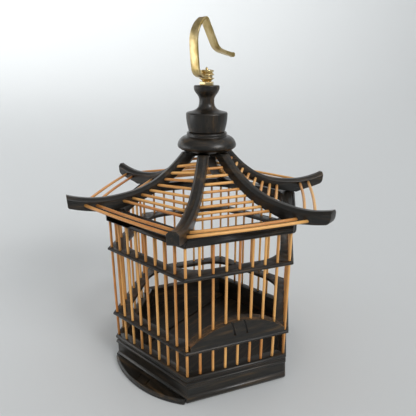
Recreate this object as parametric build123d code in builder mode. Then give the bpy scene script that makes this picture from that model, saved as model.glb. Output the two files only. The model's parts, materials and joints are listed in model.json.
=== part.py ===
"""Six-sided cricket cage with a pagoda roof, a lifting door, a pull-out tray and a brass hook.

Sizes are in millimetres and +Z is up. The origin is at the middle of the cage's foot. Face 0 is the
door side and faces -Y, the faces count anticlockwise from above, and two corners lie on the X axis.
"""

import os
from math import cos, pi, radians, sin, tan

from build123d import *

os.makedirs("parts", exist_ok=True)

# Plan of the cage
SIDES = 6
corner_radius = 68.0  # cage axis to the axis of a corner bar, so also the width of a face
bars_between = 7  # bars between two corner bars
door_face = 0
tray_face = 5

# Bamboo splints, planed to six flats
splint_d = 1.8  # across flats
splint_sides = 6
glued_play = 0.04  # round a splint that is glued in its hole
sliding_play = 0.1  # round a splint that slides

# Base boards
base_height = 20.0
base_rim = 1.1  # from the bar line out to the flat of the boards
base_thickness = 5.3
top_bead_height = 3.2
second_bead_height = 2.8
bead_gap = 1.2  # quirk between the two upper beads
bead_depth = 1.1
foot_bead_height = 5.4
foot_bead_depth = 1.4

# Floor and tray
floor_lift = 0.6  # underside of the floor wings above the ground
wing_thickness = 4.0
tray_width = 54.0  # between the floor wings
tray_thickness = 2.0
tray_tongue = 2.2  # how far an edge of the tray lies in its groove
tray_play = 0.25
tray_pull = 75.0  # how far the tray draws out
lip_thickness = 3.6
lip_depth = 10.0  # at its middle
lip_end_depth = 1.2
lip_gap = 0.3  # between the lip and the foot of the base

# Rails and eave ring
rail_thickness = 2.4
rail_overhang = 2.6  # outside the bar line
rail_width = 8.6
rail_corner = 24.0  # radius of the rounded inner corners
rail_bevel = 0.7
lower_rail_z = 38.0  # middle of the rail
upper_rail_z = 88.4
eave_z = 108.8  # underside of the eave ring
eave_height = 6.8
eave_overhang = 2.9
eave_width = 8.8
eave_inner_corner = 18.0
eave_round = 2.2
eave_corner = 70.2  # out to the flats that take the ring's corners off

# Door
board_thickness = 7.0
board_proud = 2.3  # front of the board outside the bar line
board_end_height = 3.0
board_rise = 15.0  # height at the middle
board_side_play = 0.7
door_stop_gap = 0.6  # left above the board when the door is up
door_splint_seat = 3.0  # foot of the door's splints above the board's underside
door_splint_top = 3.0  # how far the door's splints stand in the eave ring when it is down
nick_width = 1.2
nick_depth = 1.0
nick_length = 9.0
nick_pitch = 8.5
nick_lean = 14.0  # degrees

# Hip ridges, blades in the six corner planes with a crest of four arcs
ridge_thickness = 6.8
ridge_depths = (6.8, 7.2, 8.4, 9.9, 8.8)  # square to the crest, at the ends of its arcs
ridge_bevel = 1.8
ridge_housing = 0.5  # how deep a ridge is let down over the eave ring
roof_rise = 35.0  # from the eave ring to the finial
crest_start_radius = 16.0
crest_start_rise = 1.7  # above the underside of the finial
crest_start_slope = -51.9  # degrees
crest_knees = ((36.0, 10.4), (18.6, 2.6))  # in from the crest's lowest point, and up
crest_low_overhang = 2.0  # the crest's lowest point outside the corner bar
tip_overhang = 25.5  # the tip outside the corner bar
tip_rise = 3.6  # the tip above the crest's lowest point
tip_undercut = 3.3  # the tip is sawn off upright

# Roof splints
roof_splint_d = 2.0
slope_splints = 8
first_splint = 8.8  # along the crest from its upper end
slope_pitch = 5.7
splints_below_crest = (5.6, 7.0)  # the highest and the lowest on a slope
eave_splint_below_crest = 6.4
eave_splint_overhangs = (3.3, 10.4)  # outside the corner bars, measured along a ridge

# Hub and finial, with turned outlines as (radius, height above the piece's underside)
hub_flats = 14.0
hub_height = 2.2
skirt_outline = (
    (15.6, 0.0),
    (19.6, 1.7),
    (20.1, 3.4),
    (19.4, 6.1),
    (17.9, 8.7),
    (13.5, 10.2),
    (13.4, 12.4),
    (12.2, 12.9),
)
bowl_outline = (
    (12.2, 0.0),
    (13.3, 5.2),
    (13.8, 12.4),
    (8.4, 14.2),
    (5.6, 16.4),
    (5.0, 19.6),
    (5.6, 22.8),
    (7.6, 26.0),
    (8.4, 28.0),
    (8.4, 29.8),
)
bore_play = 0.1
finial_sides = 18

# Brass work
stud_d = 2.5
stud_above = 11.2  # stud above the finial's top
nut_flats = 8.4
nut_height = 2.2
cup_height = 2.4
cup_foot_d = 5.6
stud_sides = 12
brass_sides = 16
brass_d = 9.8  # widest part of the brass stack
cap_height = 3.6
cap_waist_d = 7.4
cap_inset = 0.3  # the cap's upper disc inside its foot
hook_thickness = 1.2
hook_tip_thickness = 2.4
hook_widths = (  # of the strip, each with how far out from the stud it is
    (-11.0, 7.0),
    (-3.0, 6.2),
    (6.0, 6.0),
    (12.6, 4.6),
    (26.0, 2.6),
)
hook_eye_d = 7.4
hook_play = 0.12  # above and below the hook's eye
hook_turn = 25.0  # degrees from +X to the way that the hook's tip points
hook_bends = (  # ends of the arcs that the strip is bent to, from the eye to the tip
    (-4.4, 0.0),
    (-9.7, 4.6),
    (-11.0, 20.6),
    (-3.9, 34.0),
    (-1.4, 33.4),
    (6.7, 20.0),
    (12.6, 15.8),
    (24.0, 13.7),
)
hook_ball_d = 3.0

# Worked out from the sizes above
face_angle = 360 / SIDES
half_side = corner_radius / 2
bar_line = corner_radius * cos(pi / SIDES)
pitch = corner_radius / (bars_between + 1)
base_flat = bar_line + base_rim
base_inside = base_flat - base_thickness
base_front = base_flat + max(foot_bead_depth, bead_depth)
rail_outside = bar_line + rail_overhang
eave_outside = bar_line + eave_overhang
eave_top = eave_z + eave_height
finial_z = eave_top + roof_rise
lower_rail_top = lower_rail_z + rail_thickness / 2
upper_rail_bottom = upper_rail_z - rail_thickness / 2
door_lift = upper_rail_bottom - lower_rail_top - board_rise - door_stop_gap
bowl_z = finial_z + skirt_outline[-1][1]
finial_top = bowl_z + bowl_outline[-1][1]
cup_z = finial_top + nut_height
eye_z = cup_z + cup_height + hook_play
cap_z = eye_z + hook_thickness + hook_play
crest_low = Vector(corner_radius + crest_low_overhang, eave_top + ridge_depths[3] - ridge_housing)


def face_point(face, along, out):
    """A point in plan: along a face from its middle, and out from the cage's axis."""
    turn = radians(face_angle * face)
    return (along * cos(turn) + out * sin(turn), along * sin(turn) - out * cos(turn))


def bar_places(face):
    """Where the bars between two corner bars stand."""
    steps = [pitch * (i + 1) - half_side for i in range(bars_between)]
    return [face_point(face, along, bar_line) for along in steps]


def beside(arc, share, offset):
    """A point off an arc, square to it and on its right."""
    return arc @ share + (arc % share).rotate(Axis.Z, -90) * offset


def arcs_beside(arcs, offsets):
    """Arcs that run beside others, with an offset for each end of those."""
    return [
        ThreePointArc(beside(arc, 0, near), beside(arc, 1 / 2, (near + far) / 2), beside(arc, 1, far))
        for arc, near, far in zip(arcs, offsets, offsets[1:])
    ]


def arcs_through(start, way, points):
    """Arcs that each leave in the direction that the one before ended in."""
    arcs = []
    for point in points:
        arcs.append(TangentArc(start, point, tangent=way))
        start, way = arcs[-1] @ 1, arcs[-1] % 1
    return arcs


def finish(piece, name):
    """Label a finished piece and write it."""
    piece.part.label = name
    export_step(piece.part, f"parts/{name}.step")


def sector(face, out=110.0, up=200.0):
    """The slice of the cage that belongs to one face, cut at the two mitres."""
    half = out * tan(pi / SIDES)
    with BuildPart() as slice_of_cage:
        with BuildSketch():
            with BuildLine():
                Polyline((0, 0), face_point(face, -half, out), face_point(face, half, out), close=True)
            make_face()
        extrude(amount=up)
    return slice_of_cage.part


def splints(places, low, high, across=splint_d):
    """Upright splints from one height to another, as separate solids."""
    with BuildPart() as group:
        with BuildSketch(Plane.XY.offset(low)):
            with Locations(*places):
                RegularPolygon(across / 2, splint_sides, major_radius=False)
        extrude(amount=high - low)
    return group.part


sectors = [sector(face) for face in range(SIDES)]
corner_places = [face_point(face, -half_side, bar_line) for face in range(SIDES)]
fixed_faces = [face for face in range(SIDES) if face != door_face]
fixed_places = corner_places + [p for face in fixed_faces for p in bar_places(face)]
door_places = bar_places(door_face)

glued_across = splint_d + 2 * glued_play
sliding_across = splint_d + 2 * sliding_play

# Base: six moulded boards, mitred at the corners. A section's first coordinate is its distance out.
section = Plane(origin=(0, 0, 0), x_dir=(0, -1, 0), z_dir=(-1, 0, 0))


def bead(low, height, depth):
    """A bead worked on the flat of a base board, as the middle and end of an arc."""
    return (base_flat + depth, low + height / 2), (base_flat, low + height)


with BuildPart() as moulding:
    with BuildSketch(section):
        with BuildLine():
            second_bead = base_height - top_bead_height - bead_gap - second_bead_height
            start = Line((base_inside, 0), (base_flat, 0))
            foot = ThreePointArc(start @ 1, *bead(0, foot_bead_height, foot_bead_depth))
            panel = Line(foot @ 1, (base_flat, second_bead))
            lower = ThreePointArc(panel @ 1, *bead(second_bead, second_bead_height, bead_depth))
            quirk = Line(lower @ 1, (base_flat, base_height - top_bead_height))
            upper = ThreePointArc(quirk @ 1, *bead(quirk.end_point().Y, top_bead_height, bead_depth))
            Polyline(upper @ 1, (base_inside, base_height), (base_inside, 0))
        make_face()
    extrude(amount=corner_radius, both=True)
    add(sectors[0], mode=Mode.INTERSECT)

slot_half = tray_width / 2 + tray_tongue + tray_play
tray_low = floor_lift + (wing_thickness - tray_thickness) / 2
slot_high = tray_low + tray_thickness + tray_play
for face in range(SIDES):
    with BuildPart() as base_board:
        add(moulding.part, rotation=(0, 0, face_angle * face))
        if face == tray_face:
            with BuildSketch():
                with Locations(Location(face_point(face, 0, base_flat) + (0,), (0, 0, face_angle * face))):
                    Rectangle(2 * slot_half, 3 * base_thickness)
            extrude(amount=slot_high, mode=Mode.SUBTRACT)
    finish(base_board, f"base_board_{face + 1}")

# Floor wings beside the tray, grooved for its edges. They are drawn at face 0 and turned to the tray.
tray_turn = (0, 0, face_angle * tray_face)
for side, name in ((-1, "floor_wing_left"), (1, "floor_wing_right")):
    with BuildPart() as wing:
        with BuildSketch(Plane.XY.offset(floor_lift)):
            RegularPolygon(base_inside, SIDES, major_radius=False)
            Rectangle(tray_width, 3 * base_inside, mode=Mode.SUBTRACT)
            split(bisect_by=Plane.YZ, keep=Keep.TOP if side > 0 else Keep.BOTTOM)
        extrude(amount=wing_thickness)
        with BuildSketch(Plane.XY.offset(tray_low - tray_play)):
            Rectangle(2 * slot_half, 3 * base_inside)
        extrude(amount=tray_thickness + 2 * tray_play, mode=Mode.SUBTRACT)
    with BuildPart() as floor_wing:
        add(wing.part, rotation=tray_turn)
    finish(floor_wing, name)

# Tray: a thin board, and a bowed lip glued along its front edge to draw it out by
lip_back = base_front + lip_gap
with BuildPart() as tray_blank:
    with BuildSketch(Plane.XY.offset(tray_low)):
        with Locations((0, (base_inside - tray_play - lip_back) / 2)):
            Rectangle(tray_width + 2 * tray_tongue, base_inside - tray_play + lip_back)
    extrude(amount=tray_thickness)

lip_low = tray_low + tray_thickness - lip_thickness + 0.4
with BuildPart() as lip_blank:
    with BuildSketch(Plane.XY.offset(lip_low)):
        with BuildLine():
            back = Line((-half_side, -lip_back), (half_side, -lip_back))
            right = Line(back @ 1, (half_side, -lip_back - lip_end_depth))
            bow = ThreePointArc(
                right @ 1, (0, -lip_back - lip_depth), (-half_side, -lip_back - lip_end_depth)
            )
            Line(bow @ 1, back @ 0)
        make_face()
    extrude(amount=lip_thickness)
    rim = lip_blank.faces().sort_by(Axis.Z)[-1].edges().filter_by(GeomType.CIRCLE)
    chamfer(rim, length=lip_thickness / 4)
    with BuildSketch(Plane.XY.offset(lip_low + lip_thickness)):
        with Locations(
            Location((-nick_pitch / 2, -lip_back - lip_depth / 2, 0), (0, 0, nick_lean)),
            Location((nick_pitch / 2, -lip_back - lip_depth / 2, 0), (0, 0, nick_lean)),
        ):
            Rectangle(nick_width, lip_depth / 2)
    extrude(amount=-nick_depth, mode=Mode.SUBTRACT)

for blank, name in ((tray_blank, "tray_board"), (lip_blank, "tray_lip")):
    with BuildPart() as tray_piece:
        add(blank.part, rotation=tray_turn)
    finish(tray_piece, name)

# Rails: thin rings with bevelled rims and rounded inner corners, drilled for the splints


def rail(middle, loose_places, tight_places):
    """One rail with its middle at a height, drilled for splints that slide and that are glued."""
    with BuildPart() as ring:
        with BuildSketch(Plane.XY.offset(middle - rail_thickness / 2)):
            RegularPolygon(rail_outside, SIDES, major_radius=False)
        extrude(amount=rail_thickness)
        rims = ring.edges().filter_by(Axis.Z, reverse=True)
        chamfer(rims, rail_bevel)
        with BuildSketch(Plane.XY.offset(middle - rail_thickness / 2)) as opening:
            RegularPolygon(rail_outside - rail_width, SIDES, major_radius=False)
            fillet(opening.vertices(), rail_corner)
            for places, across in ((tight_places, glued_across), (loose_places, sliding_across)):
                with Locations(*places):
                    RegularPolygon(across / 2, splint_sides, major_radius=False)
        extrude(amount=rail_thickness, mode=Mode.SUBTRACT)
    return ring


finish(rail(lower_rail_z, [], fixed_places + door_places), "lower_rail")
finish(rail(upper_rail_z, door_places, fixed_places), "upper_rail")

# Eave ring: six mitred strips under the feet of the ridges
with BuildPart() as eave_blank:
    with BuildSketch(section):
        with BuildLine():
            outer = Polyline(
                (eave_outside - 2 * eave_width, eave_z),
                (eave_outside, eave_z),
                (eave_outside, eave_top - eave_round),
            )
            shoulder = RadiusArc(outer @ 1, (eave_outside - eave_round, eave_top), -eave_round)
            Polyline(shoulder @ 1, (eave_outside - 2 * eave_width, eave_top), outer @ 0)
        make_face()
    extrude(amount=corner_radius, both=True)
    add(sectors[0], mode=Mode.INTERSECT)
    with BuildSketch(Plane.XY.offset(eave_z)) as eave_opening:
        RegularPolygon(eave_outside - eave_width, SIDES, major_radius=False)
        fillet(eave_opening.vertices(), eave_inner_corner)
    extrude(amount=eave_height, mode=Mode.SUBTRACT)
    with BuildSketch(Plane.XY.offset(eave_z)):
        RegularPolygon(eave_corner, SIDES, major_radius=False, rotation=face_angle / 2)
    extrude(amount=eave_height, mode=Mode.INTERSECT)

for face in range(SIDES):
    with BuildPart() as eave_strip:
        add(eave_blank.part, rotation=(0, 0, face_angle * face))
        if face == door_face:
            with BuildSketch(Plane.XY.offset(eave_z)):
                with Locations(*door_places):
                    RegularPolygon(sliding_across / 2, splint_sides, major_radius=False)
            extrude(amount=eave_height, mode=Mode.SUBTRACT)
    finish(eave_strip, f"eave_strip_{face + 1}")

# Splints of the walls
with BuildPart() as corner_bars:
    add(splints(corner_places, base_height, eave_z))
finish(corner_bars, "corner_bars")
for face in fixed_faces:
    with BuildPart() as face_bars:
        add(splints(bar_places(face), base_height, eave_z))
    finish(face_bars, f"face_bars_{face + 1}")
with BuildPart() as sill_bars:
    add(splints(door_places, base_height, lower_rail_top))
finish(sill_bars, "sill_bars")

# Door: an arched board on the lower rail, and seven splints that slide through the ring above
board_half = half_side - splint_d / 2 - board_side_play
door_splint_low = lower_rail_top + door_splint_seat
with BuildPart() as door_board:
    with BuildSketch(Plane.XZ.offset(bar_line + board_proud)):
        with BuildLine():
            left = Line((-board_half, lower_rail_top), (-board_half, lower_rail_top + board_end_height))
            arch = ThreePointArc(
                left @ 1,
                (0, lower_rail_top + board_rise),
                (board_half, lower_rail_top + board_end_height),
            )
            Polyline(arch @ 1, (board_half, lower_rail_top), left @ 0)
        make_face()
    extrude(amount=-board_thickness)
    add(splints(door_places, door_splint_low, eave_z, glued_across), mode=Mode.SUBTRACT)
    with BuildSketch(Plane.XZ.offset(bar_line + board_proud)):
        nick_middle = lower_rail_top + board_rise - nick_length / 2
        with Locations(
            Location((-nick_pitch / 2, nick_middle, 0), (0, 0, nick_lean)),
            Location((nick_pitch / 2, nick_middle, 0), (0, 0, nick_lean)),
        ):
            Rectangle(nick_width, nick_length + 2)
    extrude(amount=-nick_depth, mode=Mode.SUBTRACT)
finish(door_board, "door_board")

with BuildPart() as door_bars:
    add(splints(door_places, door_splint_low, eave_z + door_splint_top))
finish(door_bars, "door_bars")

# Ridges: curved blades in the six corner planes, housed on the eave ring and cut to the hub
crest_start = Vector(crest_start_radius, finial_z + crest_start_rise)
crest_way = Vector(1, 0).rotate(Axis.Z, crest_start_slope)
crest_ends = [crest_low + Vector(-inward, up) for inward, up in crest_knees]
crest_ends += [crest_low, Vector(corner_radius + tip_overhang, crest_low.Y + tip_rise)]
with BuildPart() as ridge_blank:
    with BuildSketch(Plane.XZ):
        with BuildLine():
            crest = arcs_through(crest_start, crest_way, crest_ends)
            belly = arcs_beside(crest, ridge_depths)
            root = belly[0] @ 0
            Polyline(crest_start, (0, crest_start.Y), (0, root.Y), root)
            Line(crest[-1] @ 1, belly[-1] @ 1)
        make_face()
    extrude(amount=ridge_thickness / 2, both=True)
    crest_edges = [
        edge
        for edge in ridge_blank.edges().filter_by(GeomType.CIRCLE)
        if any((arc @ 0.5 - Vector(edge.center().X, edge.center().Z)).length < 1.5 for arc in crest)
    ]
    chamfer(crest_edges, ridge_bevel)
    with BuildSketch(Plane.XZ):
        with Locations((hub_flats / 2, finial_z)):
            Rectangle(corner_radius, 2 * roof_rise, align=(Align.MAX, Align.CENTER))
            Rectangle(corner_radius, roof_rise, align=(Align.CENTER, Align.MIN))
        with Locations((eave_corner, eave_top)):
            Rectangle(corner_radius / 2, ridge_depths[3], align=(Align.MAX, Align.MAX))
        with BuildLine():
            tip_foot = belly[-1] @ 1
            Polyline(
                crest[-1] @ 1,
                (tip_foot.X - tip_undercut, tip_foot.Y),
                (tip_foot.X - tip_undercut, tip_foot.Y - tip_undercut),
                (tip_foot.X + tip_undercut, tip_foot.Y - tip_undercut),
                (tip_foot.X + tip_undercut, (crest[-1] @ 1).Y),
                close=True,
            )
        make_face()
    extrude(amount=ridge_thickness, both=True, mode=Mode.SUBTRACT)

for corner in range(SIDES):
    with BuildPart() as ridge:
        add(ridge_blank.part, rotation=(0, 0, face_angle * (corner - 2)))
    finish(ridge, f"ridge_{corner + 1}")

# Roof splints: each slope has its own, cut to the sides of its two ridges


def crest_station(along, below):
    """A point under the crest, as radius and height, from a distance along it."""
    for arc in crest:
        if along <= arc.length:
            break
        along -= arc.length
    return beside(arc, along / arc.length, below)


def eave_station(outside):
    """A point under the crest from its distance outside the corner bar."""
    sweep = crest[-1]
    share = (corner_radius + outside - crest_low.X) / ((sweep @ 1).X - crest_low.X)
    return sweep @ share + Vector(0, -eave_splint_below_crest)


highest_below, lowest_below = splints_below_crest
below_step = (lowest_below - highest_below) / (slope_splints - 1)
slope_stations = [
    crest_station(first_splint + slope_pitch * i, highest_below + below_step * i)
    for i in range(slope_splints)
]
eave_stations = [eave_station(outside) for outside in eave_splint_overhangs]

with BuildPart() as bay:
    add(sectors[0])
    with BuildSketch(Plane.XY) as ridge_plans:
        with PolarLocations(0, SIDES, start_angle=-face_angle * 2):
            Rectangle(2 * corner_radius, ridge_thickness, align=(Align.MIN, Align.CENTER))
    extrude(amount=200, mode=Mode.SUBTRACT)

with BuildPart() as slope_blank:
    with BuildSketch(section):
        for station in slope_stations + eave_stations:
            with Locations((station.X * cos(pi / SIDES), station.Y)):
                RegularPolygon(roof_splint_d / 2, splint_sides, major_radius=False)
    extrude(amount=corner_radius, both=True)
    add(bay.part, mode=Mode.INTERSECT)

for face in range(SIDES):
    with BuildPart() as roof_splints:
        add(slope_blank.part, rotation=(0, 0, face_angle * face))
    finish(roof_splints, f"roof_splints_{face + 1}")

# Hub that the ridges meet, and the turned finial over it, both bored for the stud
stud_bore = stud_d + 2 * bore_play
with BuildPart() as roof_hub:
    with BuildSketch(Plane.XY.offset(finial_z - hub_height)):
        RegularPolygon(hub_flats / 2, SIDES, major_radius=False, rotation=face_angle / 2)
        RegularPolygon(stud_bore / 2, stud_sides, major_radius=False, mode=Mode.SUBTRACT)
    extrude(amount=hub_height)
finish(roof_hub, "roof_hub")


def turned(name, low, outline, flats):
    """A turned piece standing at a height, bored for the stud, as equal wedges with a flat each."""
    points = [(stud_bore / 2, 0), *outline, (stud_bore / 2, outline[-1][1])]
    reach = 2 * outline[0][0]
    half = reach * tan(pi / flats)
    with BuildPart() as wedge:
        with BuildSketch(section):
            with BuildLine():
                Polyline(*[(radius, low + up) for radius, up in points], close=True)
            make_face()
        extrude(amount=reach, both=True)
        with BuildSketch(Plane.XY.offset(low)):
            with BuildLine():
                Polyline((0, 0), (-half, -reach), (half, -reach), close=True)
            make_face()
        extrude(amount=outline[-1][1], mode=Mode.INTERSECT)
    with BuildPart() as piece:
        with PolarLocations(0, flats):
            add(wedge.part)
    finish(piece, name)


turned("finial_skirt", finial_z, skirt_outline, finial_sides)
turned("finial_bowl", bowl_z, bowl_outline, finial_sides)

# Brass work on the stud
with BuildPart() as stud:
    with BuildSketch(Plane.XY.offset(finial_z - hub_height)):
        RegularPolygon(stud_d / 2, stud_sides, major_radius=False)
    extrude(amount=hub_height + finial_top - finial_z + stud_above)
    chamfer(stud.faces().sort_by(Axis.Z)[-1].edges(), stud_d / 4)
finish(stud, "stud")

with BuildPart() as lower_nut:
    with BuildSketch(Plane.XY.offset(finial_top)):
        RegularPolygon(nut_flats / 2, 6, major_radius=False)
        RegularPolygon(stud_bore / 2, stud_sides, major_radius=False, mode=Mode.SUBTRACT)
    extrude(amount=nut_height)
finish(lower_nut, "lower_nut")
turned("cup_washer", cup_z, [(cup_foot_d / 2, 0), (brass_d / 2, cup_height)], brass_sides)
cap_outline = [
    (brass_d / 2, 0),
    (cap_waist_d / 2, cap_height / 2),
    (brass_d / 2 - cap_inset, cap_height * 0.6),
    (brass_d / 2 - cap_inset, cap_height),
]
turned("cap_nut", cap_z, cap_outline, brass_sides)

# Hook: a flat strip bent in an upright plane, with an eye that turns on the stud
hook_plane = Plane(
    origin=(0, 0, eye_z + hook_thickness / 2),
    x_dir=(cos(radians(hook_turn)), sin(radians(hook_turn)), 0),
    z_dir=(sin(radians(hook_turn)), -cos(radians(hook_turn)), 0),
)
with BuildPart() as hook:
    with BuildLine():
        spine = arcs_through(hook_bends[0], (-1, 0), hook_bends[1:])
    thickening = (hook_tip_thickness - hook_thickness) / 2
    halves = [hook_thickness / 2] * 3 + [hook_thickness / 2 + thickening * i / 4 for i in range(5)]
    with BuildSketch(hook_plane):
        with BuildLine():
            upper = arcs_beside(spine, halves)
            lower = arcs_beside(spine, [-half for half in halves])
            Polyline(upper[0] @ 0, (0, halves[0]), (0, -halves[0]), lower[0] @ 0)
            Line(upper[-1] @ 1, lower[-1] @ 1)
        make_face()
        with Locations(hook_bends[-1]):
            Circle(hook_ball_d / 2)
    widest = max(width for out, width in hook_widths)
    extrude(amount=widest / 2, both=True)
    with BuildSketch(Plane(origin=(0, 0, eye_z), x_dir=hook_plane.x_dir, z_dir=(0, 0, 1))):
        half_plan = [(-hook_bends[-1][0], widest / 2)] + [(out, width / 2) for out, width in hook_widths]
        with BuildLine():
            Polyline(*half_plan, *[(out, -half) for out, half in reversed(half_plan)], close=True)
        make_face()
    extrude(amount=2 * hook_bends[3][1], mode=Mode.INTERSECT)
    with BuildSketch(Plane.XY.offset(eye_z)):
        Circle(hook_eye_d / 2)
    extrude(amount=hook_thickness)
    with BuildSketch(Plane.XY.offset(eye_z)):
        RegularPolygon(stud_bore / 2, stud_sides, major_radius=False)
    extrude(amount=hook_thickness, mode=Mode.SUBTRACT)
finish(hook, "hook")
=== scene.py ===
"""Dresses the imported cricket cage: polished dark hardwood, planed bamboo and brass, on a pale floor.

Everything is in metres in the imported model's own frame, with +Z up and the door towards -Y.
"""

import json
import random
from math import atan2, cos, degrees, pi, radians, sin

import bmesh
import bpy
from bpy.props import FloatProperty, FloatVectorProperty, IntProperty, PointerProperty
from mathutils import Matrix, Vector

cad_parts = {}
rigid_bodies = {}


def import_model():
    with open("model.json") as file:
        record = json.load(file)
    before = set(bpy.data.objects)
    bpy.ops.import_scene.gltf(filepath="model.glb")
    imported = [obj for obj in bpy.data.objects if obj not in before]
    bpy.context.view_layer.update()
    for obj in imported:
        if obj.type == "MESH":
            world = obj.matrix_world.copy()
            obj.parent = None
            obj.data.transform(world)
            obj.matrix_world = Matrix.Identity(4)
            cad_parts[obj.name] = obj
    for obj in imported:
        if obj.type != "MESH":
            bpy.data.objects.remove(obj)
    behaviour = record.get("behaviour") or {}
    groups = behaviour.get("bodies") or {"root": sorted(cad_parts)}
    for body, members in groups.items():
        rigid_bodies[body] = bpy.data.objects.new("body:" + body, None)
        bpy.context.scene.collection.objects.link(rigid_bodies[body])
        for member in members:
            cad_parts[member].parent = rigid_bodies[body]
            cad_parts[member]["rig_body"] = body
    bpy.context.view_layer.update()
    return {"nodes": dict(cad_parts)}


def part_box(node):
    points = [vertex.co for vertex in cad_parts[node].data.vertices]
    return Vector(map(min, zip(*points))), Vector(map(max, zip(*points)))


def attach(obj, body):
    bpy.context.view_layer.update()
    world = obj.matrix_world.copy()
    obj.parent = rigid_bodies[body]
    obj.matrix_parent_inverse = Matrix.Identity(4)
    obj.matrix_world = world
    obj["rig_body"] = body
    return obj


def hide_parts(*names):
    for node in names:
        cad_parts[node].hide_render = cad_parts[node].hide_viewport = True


bl_info = {
    "name": "Cricket Cage",
    "version": (1, 0, 0),
    "blender": (4, 5, 0),
    "location": "View3D > Sidebar > Cage",
    "description": "Dresses a hexagonal cricket cage in hardwood, bamboo and brass",
    "category": "Add Mesh",
}

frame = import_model()

MM = 0.001
SIDES = 6
FACE_ANGLE = 360 / SIDES
# Half of the stage's section, in metres: a flat floor that sweeps up all round as the backdrop
STAGE_SECTION = ((0.0, 0.0), (1.5, 0.0), (2.2, 0.07), (2.75, 0.4), (3.05, 0.9), (3.15, 1.5))

# How much the underside of a ridge is planed away, in mm, against the distance from the axis
RIDGE_PLANING = ((20, 0.0), (30, 0.8), (60, 0.8), (65, 0.0), (71, 0.0), (75, 1.1), (80, 1.5), (95, 1.5))

# Where the splints were set by hand, by slope: how much further out along the ridges than drawn, and how
# far under the ridge's crest, in mm, at the slope's left and right end. The first pair is for the splints
# of the slope and the second for the two at its eaves. None leaves an end where it is drawn.
SPLINT_ENDS = {
    1: ((None, None), (None, (2.7, 5.9))),
    2: (((0.8, 5.5), (0.8, 5.5)), ((4.5, 4.4), (3.8, 3.6))),
    3: (((0.8, 5.5), (0.8, 5.5)), ((4.5, 4.4), (4.5, 4.4))),
    4: (((0.8, 5.5), (0.8, 5.5)), ((4.5, 4.4), (6.0, 4.4))),
    5: (((0.8, 5.5), (3.0, 4.4)), ((7.5, 5.0), (5.8, 4.4))),
    6: (((5.3, 4.4), (2.6, 4.4)), ((5.8, 4.4), None)),
}

# Rounding of the heel of each ridge's tip and of the tip's two cheeks, in mm
TIP_ROUNDINGS = {1: (1.6, 1.8), 2: (3.2, 1.2), 3: (2.6, 1.6), 4: (2.6, 1.6), 5: (2.6, 2.4), 6: (0.8, 0.8)}

# Turned outlines of the finial as (radius, height above the piece's foot, how sharp), in mm
SKIRT_OUTLINE = (
    (1.4, 0.0, 1.0),
    (12.4, 0.0, 0.5),
    (14.8, 0.7, 0.0),
    (17.6, 1.6, 0.0),
    (19.6, 2.9, 0.0),
    (20.0, 4.5, 0.0),
    (19.2, 6.7, 0.0),
    (17.7, 8.8, 0.0),
    (15.6, 10.0, 0.2),
    (13.7, 10.3, 0.9),
    (13.5, 10.7, 0.4),
    (13.5, 12.2, 0.4),
    (13.2, 12.7, 0.6),
    (12.4, 12.9, 0.6),
    (1.4, 12.9, 1.0),
)
BOWL_OUTLINE = (
    (1.4, 0.0, 1.0),
    (12.0, 0.0, 0.7),
    (12.3, 1.3, 0.0),
    (13.0, 4.0, 0.0),
    (13.6, 7.2, 0.0),
    (13.8, 10.4, 0.2),
    (13.8, 12.0, 0.6),
    (13.4, 12.7, 0.5),
    (11.4, 13.2, 0.0),
    (8.6, 13.9, 0.0),
    (6.4, 15.1, 0.0),
    (5.2, 17.0, 0.0),
    (4.9, 19.6, 0.0),
    (5.0, 21.8, 0.0),
    (5.8, 23.4, 0.0),
    (7.4, 25.2, 0.0),
    (8.3, 27.0, 0.2),
    (8.5, 28.4, 0.2),
    (8.4, 29.4, 0.6),
    (7.9, 29.8, 0.6),
    (1.4, 29.8, 1.0),
)
CUP_OUTLINE = (
    (1.4, 0.0, 1.0),
    (2.7, 0.0, 0.8),
    (3.4, 1.0, 0.0),
    (4.8, 1.7, 0.5),
    (4.9, 2.1, 0.5),
    (4.6, 2.4, 0.8),
    (1.4, 2.4, 1.0),
)
CAP_OUTLINE = (
    (1.4, 0.0, 1.0),
    (4.7, 0.0, 0.8),
    (4.9, 0.3, 0.5),
    (4.6, 0.9, 0.0),
    (3.8, 1.6, 0.2),
    (3.7, 2.0, 0.8),
    (4.4, 2.15, 0.6),
    (4.65, 2.6, 0.2),
    (4.55, 3.1, 0.4),
    (3.4, 3.5, 0.2),
    (1.4, 3.6, 1.0),
)


def srgb(value):
    """An sRGB hex value as linear red, green, blue and alpha."""
    channels = [int(value[i : i + 2], 16) / 255 for i in (1, 3, 5)]
    return tuple(c / 12.92 if c < 0.04045 else ((c + 0.055) / 1.055) ** 2.4 for c in channels) + (1,)


class WoodLook(bpy.types.PropertyGroup):
    ground: FloatVectorProperty(
        name="Ground",
        description="Near-black ground of the polished hardwood",
        subtype="COLOR",
        min=0,
        max=1,
        default=srgb("#100e0a")[:3],
    )
    figure: FloatVectorProperty(
        name="Figure",
        description="Brown of the hardwood's figure",
        subtype="COLOR",
        min=0,
        max=1,
        default=srgb("#292117")[:3],
    )
    streaks: FloatVectorProperty(
        name="Streaks",
        description="Lighter streaks along the grain",
        subtype="COLOR",
        min=0,
        max=1,
        default=srgb("#4a3821")[:3],
    )
    grain: FloatProperty(
        name="Grain spacing",
        description="Distance between two streaks of the hardwood",
        subtype="DISTANCE",
        unit="LENGTH",
        min=0.0003,
        max=0.01,
        default=0.0016,
    )
    arris: FloatProperty(
        name="Arris",
        description="Rounding of the boards' edges",
        subtype="DISTANCE",
        unit="LENGTH",
        min=0.0001,
        max=0.002,
        default=0.0004,
    )


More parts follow.
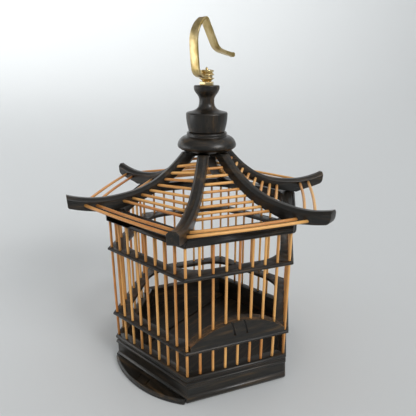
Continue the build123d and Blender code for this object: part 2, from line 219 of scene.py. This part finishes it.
class BambooLook(bpy.types.PropertyGroup):
    pale: FloatVectorProperty(
        name="Pale",
        description="Pale side of the planed bamboo",
        subtype="COLOR",
        min=0,
        max=1,
        default=srgb("#f8bd70")[:3],
    )
    deep: FloatVectorProperty(
        name="Deep",
        description="Darker, older bamboo",
        subtype="COLOR",
        min=0,
        max=1,
        default=srgb("#c07636")[:3],
    )
    bow: FloatProperty(
        name="Bow",
        description="How far the outer splint of the eaves bows out at its middle",
        subtype="DISTANCE",
        unit="LENGTH",
        min=0,
        max=0.003,
        default=0.0012,
    )
    flats: IntProperty(
        name="Facets", description="Faces round a splint", min=6, max=24, default=12
    )


class BrassLook(bpy.types.PropertyGroup):
    clean: FloatVectorProperty(
        name="Clean",
        description="Brass where it is rubbed",
        subtype="COLOR",
        min=0,
        max=1,
        default=srgb("#dec794")[:3],
    )
    tarnished: FloatVectorProperty(
        name="Tarnished",
        description="Brass where it has dulled",
        subtype="COLOR",
        min=0,
        max=1,
        default=srgb("#b59c60")[:3],
    )
    turns: IntProperty(
        name="Steps", description="Steps round a turned piece", min=16, max=128, default=64
    )


def opaque(colour):
    """A colour of a look, with alpha."""
    return (*colour, 1)


def add_node(tree, kind, inputs=None, **settings):
    """A node with its settings, and its sockets set to values or linked to other nodes' sockets."""
    node = tree.nodes.new(kind)
    for name, value in settings.items():
        setattr(node, name, value)
    for name, value in (inputs or {}).items():
        if isinstance(value, bpy.types.NodeSocket):
            tree.links.new(value, node.inputs[name])
        else:
            node.inputs[name].default_value = value
    return node


def new_material(name):
    """A material whose tree holds only its output."""
    material = bpy.data.materials.new(name)
    material.use_nodes = True
    material.node_tree.nodes.clear()
    return material, material.node_tree, add_node(material.node_tree, "ShaderNodeOutputMaterial")


def ramp(tree, fac, *stops):
    """A colour ramp through (place, colour) stops."""
    node = add_node(tree, "ShaderNodeValToRGB", {"Fac": fac})
    elements = node.color_ramp.elements
    while len(elements) < len(stops):
        elements.new(0.5)
    for element, (place, colour) in zip(elements, stops):
        element.position = place
        element.color = colour
    return node.outputs["Color"]


def grain_coordinates(tree, turn, upright):
    """Object coordinates turned so that the first axis runs along the grain."""
    place = add_node(tree, "ShaderNodeTexCoord").outputs["Object"]
    tilt = (0, pi / 2, 0) if upright else (0, 0, -radians(turn))
    return add_node(tree, "ShaderNodeMapping", {"Vector": place, "Rotation": tilt}).outputs["Vector"]


def stretched(tree, place, spacing, length):
    """The coordinates scaled so that one noise cell is a streak of that spacing and length."""
    return add_node(
        tree,
        "ShaderNodeMapping",
        {"Vector": place, "Scale": (1 / length, 1 / spacing, 1 / spacing)},
    ).outputs["Vector"]


def polished_hardwood(name, turn=0, upright=False, sawn=False):
    """Dense rosewood, oiled and rubbed: nearly black, with brown figure and a soft, deep shine.

    Where it is left as it came off the saw it is rougher, browner, lighter and dull. The lighter brown is
    partly the sawn wood's own colour and partly painted light on the lit top edge.
    """
    material, tree, output = new_material(name)
    look = bpy.context.scene.cage_wood
    spacing = look.grain
    place = grain_coordinates(tree, turn, upright)
    figure = add_node(
        tree,
        "ShaderNodeTexNoise",
        {"Vector": stretched(tree, place, 2.4 * spacing, 42 * MM), "Scale": 1.0, "Detail": 4.0,
         "Roughness": 0.6, "Distortion": 0.4},
    ).outputs["Fac"]
    streaks = add_node(
        tree,
        "ShaderNodeTexNoise",
        {"Vector": stretched(tree, place, 0.45 * spacing, 18 * MM), "Scale": 1.0, "Detail": 3.0,
         "Roughness": 0.65},
    ).outputs["Fac"]
    half = add_node(tree, "ShaderNodeMath", {0: streaks, 1: 0.6}, operation="MULTIPLY").outputs[0]
    mixed = add_node(tree, "ShaderNodeMath", {0: figure, 1: half}, operation="ADD").outputs[0]
    ground, brown, pale = (opaque(colour) for colour in (look.ground, look.figure, look.streaks))
    # The sawn ramp runs browner and lighter, up to #7a5838. This is sawn wood, and it is also partly
    # painted light for the upward edge that gets it.
    if sawn:
        stops = ((0.62, brown), (0.82, pale), (1.0, srgb("#7a5838")))
    else:
        stops = ((0.72, ground), (0.90, brown), (1.0, pale))
    roughness = add_node(
        tree,
        "ShaderNodeMapRange",
        {"Value": streaks, "From Min": 0.3, "From Max": 0.7, "To Min": 0.62 if sawn else 0.27,
         "To Max": 0.8 if sawn else 0.4},
    ).outputs["Result"]
    bump = add_node(
        tree,
        "ShaderNodeBump",
        {"Height": streaks, "Strength": 0.6 if sawn else 0.14, "Distance": 0.12 * MM},
    ).outputs["Normal"]
    shader = add_node(
        tree,
        "ShaderNodeBsdfPrincipled",
        {"Base Color": ramp(tree, mixed, *stops), "Roughness": roughness, "Normal": bump, "IOR": 1.5},
    )
    tree.links.new(shader.outputs["BSDF"], output.inputs["Surface"])
    return material


def planed_bamboo(name, turn=0, upright=False):
    """Split bamboo, planed and oiled: warm honey, each splint its own tone, with fine fibres."""
    material, tree, output = new_material(name)
    look = bpy.context.scene.cage_bamboo
    place = grain_coordinates(tree, turn, upright)
    tone = add_node(
        tree,
        "ShaderNodeTexNoise",
        {"Vector": stretched(tree, place, 9 * MM, 160 * MM), "Scale": 1.0, "Detail": 2.0,
         "Roughness": 0.55},
    ).outputs["Fac"]
    # Real fibres are about 0.1 mm apart, so they are drawn three times as coarse to show
    fibres = add_node(
        tree,
        "ShaderNodeTexNoise",
        {"Vector": stretched(tree, place, 0.3 * MM, 9 * MM), "Scale": 1.0, "Detail": 2.0,
         "Roughness": 0.6},
    ).outputs["Fac"]
    share = add_node(tree, "ShaderNodeMath", {0: fibres, 1: 0.45}, operation="MULTIPLY").outputs[0]
    mixed = add_node(tree, "ShaderNodeMath", {0: tone, 1: share}, operation="ADD").outputs[0]
    colour = ramp(tree, mixed, (0.52, opaque(look.deep)), (0.86, opaque(look.pale)))
    bump = add_node(
        tree, "ShaderNodeBump", {"Height": fibres, "Strength": 0.25, "Distance": 0.05 * MM}
    ).outputs["Normal"]
    shader = add_node(
        tree,
        "ShaderNodeBsdfPrincipled",
        {"Base Color": colour, "Roughness": 0.36, "Normal": bump, "IOR": 1.5},
    )
    tree.links.new(shader.outputs["BSDF"], output.inputs["Surface"])
    return material


def brass(name, roughness, upright=False):
    """Yellow brass, drawn and rubbed: fine lines along the strip that spread its shine."""
    material, tree, output = new_material(name)
    look = bpy.context.scene.cage_brass
    place = grain_coordinates(tree, 0, upright)
    lines = add_node(
        tree,
        "ShaderNodeTexNoise",
        {"Vector": stretched(tree, place, 0.3 * MM, 14 * MM), "Scale": 1.0, "Detail": 3.0,
         "Roughness": 0.6},
    ).outputs["Fac"]
    tarnish = add_node(
        tree,
        "ShaderNodeTexNoise",
        {"Vector": stretched(tree, place, 5 * MM, 9 * MM), "Scale": 1.0, "Detail": 3.0},
    ).outputs["Fac"]
    colour = ramp(tree, tarnish, (0.35, opaque(look.tarnished)), (0.6, opaque(look.clean)))
    rough = add_node(
        tree,
        "ShaderNodeMapRange",
        {"Value": lines, "From Min": 0.3, "From Max": 0.7, "To Min": roughness - 0.05,
         "To Max": roughness + 0.09},
    ).outputs["Result"]
    bump = add_node(
        tree, "ShaderNodeBump", {"Height": lines, "Strength": 0.12, "Distance": 0.03 * MM}
    ).outputs["Normal"]
    shader = add_node(
        tree,
        "ShaderNodeBsdfPrincipled",
        {"Base Color": colour, "Metallic": 1.0, "Roughness": rough, "Normal": bump},
    )
    tree.links.new(shader.outputs["BSDF"], output.inputs["Surface"])
    return material


def shared(maker, name, *details, **more):
    """One material of a name, made the first time that it is asked for."""
    return bpy.data.materials.get(name) or maker(name, *details, **more)


def hardwood_along(turn):
    """Hardwood with its grain along a level direction, in degrees from +X."""
    turn = round(turn) % 180
    return shared(polished_hardwood, f"polished_hardwood_{turn}", turn)


def hardwood_upright():
    return shared(polished_hardwood, "polished_hardwood_upright", upright=True)


def bamboo_along(turn):
    turn = round(turn) % 180
    return shared(planed_bamboo, f"planed_bamboo_{turn}", turn)


def bamboo_upright():
    return shared(planed_bamboo, "planed_bamboo_upright", upright=True)


def merged_copy(node):
    """A bmesh of a CAD node with its loose triangles joined into flat faces."""
    bm = bmesh.new()
    bm.from_mesh(frame["nodes"][node].data)
    bmesh.ops.remove_doubles(bm, verts=bm.verts, dist=0.002 * MM)
    bmesh.ops.dissolve_limit(bm, angle_limit=radians(0.4), verts=bm.verts, edges=bm.edges)
    return bm


def place_piece(name, bm, body, nodes, slot, *materials):
    """Makes an object of a bmesh, which rides on a body and stands for CAD nodes."""
    mesh = bpy.data.meshes.new(name)
    for face in bm.faces:
        face.smooth = True
    bm.to_mesh(mesh)
    bm.free()
    piece = bpy.data.objects.new(name, mesh)
    bpy.context.scene.collection.objects.link(piece)
    for material in materials:
        mesh.materials.append(material)
    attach(piece, body)
    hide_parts(*nodes)
    return piece


def rounded(piece, width, segments=3, angle=28):
    """Rounds a piece's edges and keeps its flat faces flat."""
    bevel = piece.modifiers.new("Rounded edges", "BEVEL")
    bevel.limit_method = "ANGLE"
    bevel.angle_limit = radians(angle)
    bevel.width = width
    bevel.segments = segments
    bevel.harden_normals = True
    return piece


def dressed(node, width, slot, *materials, segments=3):
    """A CAD node's shape with rounded edges."""
    body = frame["nodes"][node]["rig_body"]
    piece = place_piece(f"{node}_finished", merged_copy(node), body, [node], slot, *materials)
    return rounded(piece, width, segments)


def finished_node(node, material):
    """A CAD node that keeps its own shape and gets a material."""
    data = frame["nodes"][node].data
    data.materials.clear()
    data.materials.append(material)


def turned_mesh(foot, outline, steps):
    """A turned shape: its outline spun round the cage's axis, with its sharp rims creased."""
    bm = bmesh.new()
    points = [bm.verts.new((radius * MM, 0, foot + up * MM)) for radius, up, _ in outline]
    edges = [bm.edges.new(pair) for pair in zip(points, points[1:])]
    sharpness = {round(v.co.z, 7) + round(v.co.x, 7) * 100: s for v, (_, _, s) in zip(points, outline)}
    bmesh.ops.spin(
        bm, geom=points + edges, cent=(0, 0, 0), axis=(0, 0, 1), angle=2 * pi, steps=steps, use_merge=True
    )
    crease = bm.edges.layers.float.new("crease_edge")
    for edge in bm.edges:
        low, high = (Vector((v.co.x, v.co.y)).length for v in edge.verts)
        level = abs(edge.verts[0].co.z - edge.verts[1].co.z) < 1e-7 and abs(low - high) < 1e-7
        if level:
            edge[crease] = sharpness.get(round(edge.verts[0].co.z, 7) + round(low, 7) * 100, 0.0)
    bmesh.ops.recalc_face_normals(bm, faces=bm.faces)
    return bm


def turned_piece(name, node, outline, slot, material, levels=2):
    """A turned piece standing where its CAD node stands."""
    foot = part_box(node)[0].z
    bm = turned_mesh(foot, outline, bpy.context.scene.cage_brass.turns)
    piece = place_piece(name, bm, frame["nodes"][node]["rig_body"], [node], slot, material)
    smooth = piece.modifiers.new("Turned smooth", "SUBSURF")
    smooth.levels = smooth.render_levels = levels
    return piece


def blend(table, at):
    """The value at a place in a table of (place, value) pairs, in straight lines between them."""
    at = min(max(at, table[0][0]), table[-1][0])
    for (low, start), (high, end) in zip(table, table[1:]):
        if at <= high:
            return start + (end - start) * (at - low) / (high - low)


def crest_line():
    """The crest of the ridges as (distance from the axis, height) pairs, read from one of them."""
    low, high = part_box("ridge_3")
    bm = merged_copy("ridge_3")
    along = Vector((low.x + high.x, low.y + high.y)).normalized()
    tops = {}
    for vert in bm.verts:
        place = Vector((vert.co.x, vert.co.y))
        if abs(along.cross(place)) < 2 * MM:
            reach = place.dot(along)
            tops[round(reach, 5)] = max(vert.co.z, tops.get(round(reach, 5), 0))
    bm.free()
    return tuple(sorted(tops.items()))


def shaped_ridge(node, heel_rounding, cheek_rounding):
    """A ridge of a CAD node, planed lighter underneath and with the end of its tip rubbed round."""
    bm = merged_copy(node)

    def reach(vert):
        return Vector((vert.co.x, vert.co.y)).length

    end = max(reach(v) for v in bm.verts) - 1.5 * MM
    foot = min(v.co.z for v in bm.verts if reach(v) > end)
    step = [e for e in bm.edges
            if all(reach(v) > end and foot + 0.5 * MM < v.co.z < foot + 3 * MM for v in e.verts)]
    bmesh.ops.dissolve_edges(bm, edges=step, use_verts=True)
    bm.normal_update()
    for vert in {v for face in bm.faces if face.normal.z < -0.3 for v in face.verts}:
        vert.co.z += blend(RIDGE_PLANING, reach(vert) / MM) * MM
    foot = min(v.co.z for v in bm.verts if reach(v) > end)
    heel = [e for e in bm.edges if all(reach(v) > end and v.co.z < foot + 0.5 * MM for v in e.verts)]
    cheeks = [e for e in bm.edges if e not in heel and all(reach(v) > end for v in e.verts)
              and abs(e.verts[0].co.z - e.verts[1].co.z) > 3 * MM]
    for edges, rounding in ((heel, heel_rounding), (cheeks, cheek_rounding)):
        edges = [e for e in edges if e.is_valid]
        bmesh.ops.bevel(bm, geom=edges, offset=rounding * MM, offset_type="OFFSET", segments=4,
                        profile=0.5, affect="EDGES", material=-1)
    return bm


def shaped_strip(node, turn, rounding):
    """A strip of the eave ring with the long edges of its outer side rubbed round."""
    bm = merged_copy(node)
    along, out = polar(turn, 0, 1), polar(turn - 90, 0, 1)
    face = max(v.co.dot(out) for v in bm.verts)
    edges = [e for e in bm.edges if e.calc_length() > 20 * MM
             and abs((e.verts[0].co - e.verts[1].co).normalized().dot(along)) > 0.9
             and all(v.co.dot(out) > face - 0.3 * MM for v in e.verts)]
    bmesh.ops.bevel(bm, geom=edges, offset=rounding, offset_type="OFFSET", segments=4, profile=0.5,
                    affect="EDGES", material=-1)
    return bm


def splint_lines(node):
    """The axis of each splint in a CAD node, as its two ends."""
    bm = bmesh.new()
    bm.from_mesh(frame["nodes"][node].data)
    bmesh.ops.remove_doubles(bm, verts=bm.verts, dist=0.002 * MM)
    left, lines = set(bm.verts), []
    while left:
        island, front = set(), [left.pop()]
        while front:
            vert = front.pop()
            island.add(vert)
            for edge in vert.link_edges:
                other = edge.other_vert(vert)
                if other in left:
                    left.discard(other)
                    front.append(other)
        middle = sum((v.co for v in island), Vector()) / len(island)
        reach = max(island, key=lambda v: (v.co - middle).length).co - middle
        halves = [[v.co for v in island if (v.co - middle).dot(reach) * side > 0] for side in (-1, 1)]
        lines.append([sum(half, Vector()) / len(half) for half in halves])
    bm.free()
    return lines


def polar(turn, rise, reach):
    """A point at a turn from +X and a rise above the floor, both in degrees, and a distance."""
    turn, rise = radians(turn), radians(rise)
    return Vector((cos(turn) * cos(rise), sin(turn) * cos(rise), sin(rise))) * reach


def add_splint(bm, ends, radius, bow, sink=0.4 * MM, rings=7):
    """A round splint between two ends, sunk a little into what holds it and bowed at its middle."""
    start, end = ends
    along = (end - start).normalized()
    start, end = start - along * sink, end + along * sink
    flats = bpy.context.scene.cage_bamboo.flats
    turn = along.to_track_quat("Z", "X").to_matrix().to_4x4()
    ring = bmesh.ops.create_circle(
        bm, cap_ends=False, segments=flats, radius=radius, matrix=Matrix.Translation(start) @ turn
    )["verts"]
    edges = list({e for v in ring for e in v.link_edges})
    bmesh.ops.contextual_create(bm, geom=edges)
    for i in range(1, rings + 1):
        grown = bmesh.ops.extrude_edge_only(bm, edges=edges)["geom"]
        ring = [g for g in grown if isinstance(g, bmesh.types.BMVert)]
        edges = [g for g in grown if isinstance(g, bmesh.types.BMEdge)]
        step = (end - start) / rings + bow * (sin(pi * i / rings) - sin(pi * (i - 1) / rings))
        bmesh.ops.translate(bm, verts=ring, vec=step)
    bmesh.ops.contextual_create(bm, geom=edges)


def splint_piece(name, node, radius, material, bows=None, sink=0.4 * MM, place=None, wander=0.14 * MM):
    """The splints of a CAD node as round ones, each a little bowed in its own way."""
    chance = random.Random(name)
    bm = bmesh.new()
    for ends in splint_lines(node):
        if place:
            ends = place(ends)
        bow = bows(ends) if bows else Vector()
        drift = Vector((chance.uniform(-1, 1), chance.uniform(-1, 1), 0)) * wander
        add_splint(bm, ends, radius * chance.uniform(0.96, 1.02), bow + drift, sink)
    bmesh.ops.recalc_face_normals(bm, faces=bm.faces)
    return place_piece(name, bm, frame["nodes"][node]["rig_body"], [node], "bamboo", material)


def set_end(end, out, settings, crest):
    """A splint's end set along the ridge that holds it, by the settings for its side of the slope."""
    along = polar(round(degrees(atan2(end.y, end.x)) / FACE_ANGLE) * FACE_ANGLE, 0, 1)
    setting = settings[out.cross(along).z > 0]
    if not setting:
        return end
    further, below = (value * MM for value in setting)
    moved = end + along * further
    return Vector((moved.x, moved.y, blend(crest, moved.dot(along)) - below))


class CAGE_OT_base(bpy.types.Operator):
    """Moulded base boards, floor wings and the hub under the finial"""

    bl_idname = "cage.base"
    bl_label = "Base"

    def execute(self, context):
        arris = context.scene.cage_wood.arris
        for face in range(SIDES):
            dressed(f"base_board_{face + 1}", 0.6 * arris, "hardwood", hardwood_along(FACE_ANGLE * face),
                    segments=2)
        for node in ("floor_wing_left", "floor_wing_right"):
            finished_node(node, hardwood_along(30))
        finished_node("roof_hub", hardwood_upright())
        return {"FINISHED"}


class CAGE_OT_tray(bpy.types.Operator):
    """Tray that draws out, with its bowed lip"""

    bl_idname = "cage.tray"
    bl_label = "Tray"

    def execute(self, context):
        arris = context.scene.cage_wood.arris
        finished_node("tray_board", hardwood_along(30))
        dressed("tray_lip", arris, "hardwood", hardwood_along(120))
        return {"FINISHED"}


class CAGE_OT_rings(bpy.types.Operator):
    """Two thin rails and the eave ring"""

    bl_idname = "cage.rings"
    bl_label = "Rails and eaves"

    def execute(self, context):
        arris = context.scene.cage_wood.arris
        for node in ("lower_rail", "upper_rail"):
            dressed(node, 0.7 * arris, "hardwood", hardwood_along(0))
        for face in range(SIDES):
            node, turn = f"eave_strip_{face + 1}", FACE_ANGLE * face
            strip = place_piece(f"{node}_finished", shaped_strip(node, turn, 2.6 * arris),
                                frame["nodes"][node]["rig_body"], [node], "hardwood", hardwood_along(turn))
            rounded(strip, 0.6 * arris, segments=2)
        return {"FINISHED"}


class CAGE_OT_ridges(bpy.types.Operator):
    """Six curved hip ridges"""

    bl_idname = "cage.ridges"
    bl_label = "Ridges"

    def execute(self, context):
        arris = context.scene.cage_wood.arris
        for corner in range(SIDES):
            material = hardwood_along(FACE_ANGLE * (corner - 2))
            node = f"ridge_{corner + 1}"
            piece = place_piece(f"{node}_finished", shaped_ridge(node, *TIP_ROUNDINGS[corner + 1]),
                                frame["nodes"][node]["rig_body"], [node], "hardwood", material)
            rounded(piece, 2.6 * arris, segments=4)
        return {"FINISHED"}


class CAGE_OT_finial(bpy.types.Operator):
    """Turned finial: a rounded skirt under a waisted bowl"""

    bl_idname = "cage.finial"
    bl_label = "Finial"

    def execute(self, context):
        # The skirt is turned from a board, with its grain lying across, and the bowl from a stick
        for name, node, outline, material in (
            ("finial_skirt_turned", "finial_skirt", SKIRT_OUTLINE, hardwood_along(150)),
            ("finial_bowl_turned", "finial_bowl", BOWL_OUTLINE, hardwood_upright()),
        ):
            turned_piece(name, node, outline, "hardwood", material)
        return {"FINISHED"}


class CAGE_OT_bars(bpy.types.Operator):
    """Upright bamboo splints of the walls"""

    bl_idname = "cage.bars"
    bl_label = "Bars"

    def execute(self, context):
        for node in ["corner_bars", "sill_bars"] + [f"face_bars_{face}" for face in range(2, 7)]:
            splint_piece(f"{node}_round", node, 0.88 * MM, bamboo_upright())
        return {"FINISHED"}


class CAGE_OT_roof(bpy.types.Operator):
    """Bamboo splints of the six roof slopes"""

    bl_idname = "cage.roof"
    bl_label = "Roof splints"

    def execute(self, context):
        crest = crest_line()
        for face in range(SIDES):
            turn = radians(FACE_ANGLE * face)
            out = Vector((sin(turn), -cos(turn), 0))

            def at_eaves(ends):
                return (ends[0] + ends[1]).dot(out) / 2 > 0.05

            def bows(ends):
                outer = (ends[0] + ends[1]).dot(out) / 2 > 0.062
                return out * context.scene.cage_bamboo.bow * (1 if outer else 0.1)

            def place(ends):
                return [set_end(end, out, SPLINT_ENDS[face + 1][at_eaves(ends)], crest) for end in ends]

            splint_piece(f"roof_splints_{face + 1}_round", f"roof_splints_{face + 1}", 0.98 * MM,
                         bamboo_along(FACE_ANGLE * face), bows, sink=1.2 * MM, place=place)
        return {"FINISHED"}


class CAGE_OT_door(bpy.types.Operator):
    """Sliding door: an arched board with a sawn top edge, whose lighter brown is partly painted light, and
    its splints
    """

    bl_idname = "cage.door"
    bl_label = "Door"

    def execute(self, context):
        sawn = shared(polished_hardwood, "sawn_hardwood", 0, sawn=True)
        board = dressed("door_board", 0.8 * context.scene.cage_wood.arris, "hardwood",
                        hardwood_along(0), sawn)
        # Faces turned up take the sawn material: rough sawn wood, with a lighter brown that is partly
        # painted light on the top edge
        for face in board.data.polygons:
            if face.normal.z > 0.5:
                face.material_index = 1
        # These slide through holes in the eaves, so they are planed straight
        splint_piece("door_bars_round", "door_bars", 0.85 * MM, bamboo_upright(), wander=0)
        return {"FINISHED"}


class CAGE_OT_brass(bpy.types.Operator):
    """Brass stud, nut, cup and cap"""

    bl_idname = "cage.brass"
    bl_label = "Brass stack"

    def execute(self, context):
        bright = shared(brass, "turned_brass", 0.2)
        turned_piece("cup_turned", "cup_washer", CUP_OUTLINE, "brass", bright)
        turned_piece("cap_turned", "cap_nut", CAP_OUTLINE, "brass", bright)
        dressed("lower_nut", 0.25 * MM, "brass", bright)
        low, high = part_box("stud")
        rise = (high.z - low.z) / MM
        outline = ((0.01, 0, 1.0), (1.22, 0, 0.8), (1.25, 1, 0.3), (1.25, rise - 2.0, 0.2),
                   (0.9, rise - 0.9, 0.0), (0.4, rise - 0.2, 0.0), (0.01, rise, 0.0))
        turned_piece("stud_turned", "stud", outline, "brass", bright, levels=1)
        return {"FINISHED"}


class CAGE_OT_hook(bpy.types.Operator):
    """Brass hook that turns on the stud"""

    bl_idname = "cage.hook"
    bl_label = "Hook"

    def execute(self, context):
        dressed("hook", 0.28 * MM, "brass", shared(brass, "drawn_brass", 0.3, upright=True))
        return {"FINISHED"}


class CAGE_OT_stage(bpy.types.Operator):
    """Floor, soft lamps and the camera at the photograph's angle"""

    bl_idname = "cage.stage"
    bl_label = "Stage"

    def execute(self, context):
        scene = context.scene
        material, tree, output = new_material("pale_floor")
        shader = add_node(tree, "ShaderNodeBsdfPrincipled",
                          {"Base Color": srgb("#e0e3e4"), "Roughness": 0.85})
        tree.links.new(shader.outputs["BSDF"], output.inputs["Surface"])
        bm = bmesh.new()
        points = [bm.verts.new((reach, 0, rise)) for reach, rise in STAGE_SECTION]
        edges = [bm.edges.new(pair) for pair in zip(points, points[1:])]
        bmesh.ops.spin(bm, geom=points + edges, cent=(0, 0, 0), axis=(0, 0, 1), angle=2 * pi, steps=48,
                       use_merge=True)
        bmesh.ops.remove_doubles(bm, verts=bm.verts, dist=MM)
        bmesh.ops.recalc_face_normals(bm, faces=bm.faces)
        for face in bm.faces:
            face.smooth = True
        mesh = bpy.data.meshes.new("floor")
        bm.to_mesh(mesh)
        bm.free()
        mesh.materials.append(material)
        floor = bpy.data.objects.new("floor", mesh)
        scene.collection.objects.link(floor)
        sweep = floor.modifiers.new("Smooth sweep", "SUBSURF")
        sweep.levels = sweep.render_levels = 2

        world = bpy.data.worlds.new("Soft studio")
        world.use_nodes = True
        world.node_tree.nodes.clear()
        ray = add_node(world.node_tree, "ShaderNodeTexCoord").outputs["Generated"]
        facing = add_node(world.node_tree, "ShaderNodeVectorMath", {0: ray, 1: polar(-62, 25, 1)},
                          operation="DOT_PRODUCT").outputs["Value"]
        strength = add_node(world.node_tree, "ShaderNodeMapRange",
                            {"Value": facing, "From Min": -0.6, "From Max": 1.0, "To Min": 0.22,
                             "To Max": 0.8}).outputs["Result"]
        sky = add_node(world.node_tree, "ShaderNodeBackground",
                       {"Color": srgb("#ffffff"), "Strength": strength})
        ground = add_node(world.node_tree, "ShaderNodeOutputWorld")
        world.node_tree.links.new(sky.outputs["Background"], ground.inputs["Surface"])
        scene.world = world

        sun = bpy.data.lights.new("key_lamp", "SUN")
        sun.energy = 2.6
        sun.angle = radians(28)
        card = bpy.data.lights.new("side_lamp", "AREA")
        card.shape = "RECTANGLE"
        card.size, card.size_y = 0.45, 0.3
        card.energy = 0.8
        for lamp, place in ((sun, polar(-62, 28, 1.5)), (card, polar(160, 8, 0.9))):
            holder = bpy.data.objects.new(lamp.name, lamp)
            holder.location = place
            aim = Vector((0, 0, 0.12)) - place
            holder.rotation_euler = aim.to_track_quat("-Z", "Y").to_euler()
            scene.collection.objects.link(holder)

        lens = bpy.data.cameras.new("photo_camera")
        lens.lens = 35.53
        lens.sensor_width = 36
        lens.clip_start = 0.01
        camera = bpy.data.objects.new("photo_camera", lens)
        camera.location = (-0.09299, -0.26112, 0.20372)
        camera.rotation_euler = (radians(71.187), 0, radians(-19.77))
        scene.collection.objects.link(camera)
        scene.camera = camera
        scene.view_settings.view_transform = "Standard"
        return {"FINISHED"}


class CAGE_PT_panel(bpy.types.Panel):
    """Lists the cage's pieces"""

    bl_label = "Cricket Cage"
    bl_space_type = "VIEW_3D"
    bl_region_type = "UI"
    bl_category = "Cage"

    def draw(self, context):
        for piece in PIECES:
            self.layout.operator(piece.bl_idname)
        for look in (context.scene.cage_wood, context.scene.cage_bamboo, context.scene.cage_brass):
            box = self.layout.box()
            for name in look.__annotations__:
                box.prop(look, name)


LOOKS = (WoodLook, BambooLook, BrassLook)
PIECES = (
    CAGE_OT_base,
    CAGE_OT_tray,
    CAGE_OT_rings,
    CAGE_OT_ridges,
    CAGE_OT_finial,
    CAGE_OT_bars,
    CAGE_OT_roof,
    CAGE_OT_door,
    CAGE_OT_brass,
    CAGE_OT_hook,
    CAGE_OT_stage,
)


def register():
    for item in LOOKS + PIECES + (CAGE_PT_panel,):
        bpy.utils.register_class(item)
    bpy.types.Scene.cage_wood = PointerProperty(type=WoodLook)
    bpy.types.Scene.cage_bamboo = PointerProperty(type=BambooLook)
    bpy.types.Scene.cage_brass = PointerProperty(type=BrassLook)


def unregister():
    for name in ("cage_wood", "cage_bamboo", "cage_brass"):
        delattr(bpy.types.Scene, name)
    for item in reversed(LOOKS + PIECES + (CAGE_PT_panel,)):
        bpy.utils.unregister_class(item)


def main():
    register()
    bpy.ops.cage.base()
    bpy.ops.cage.tray()
    bpy.ops.cage.rings()
    bpy.ops.cage.ridges()
    bpy.ops.cage.finial()
    bpy.ops.cage.bars()
    bpy.ops.cage.roof()
    bpy.ops.cage.door()
    bpy.ops.cage.brass()
    bpy.ops.cage.hook()
    bpy.ops.cage.stage()


if __name__ == "__main__":
    main()
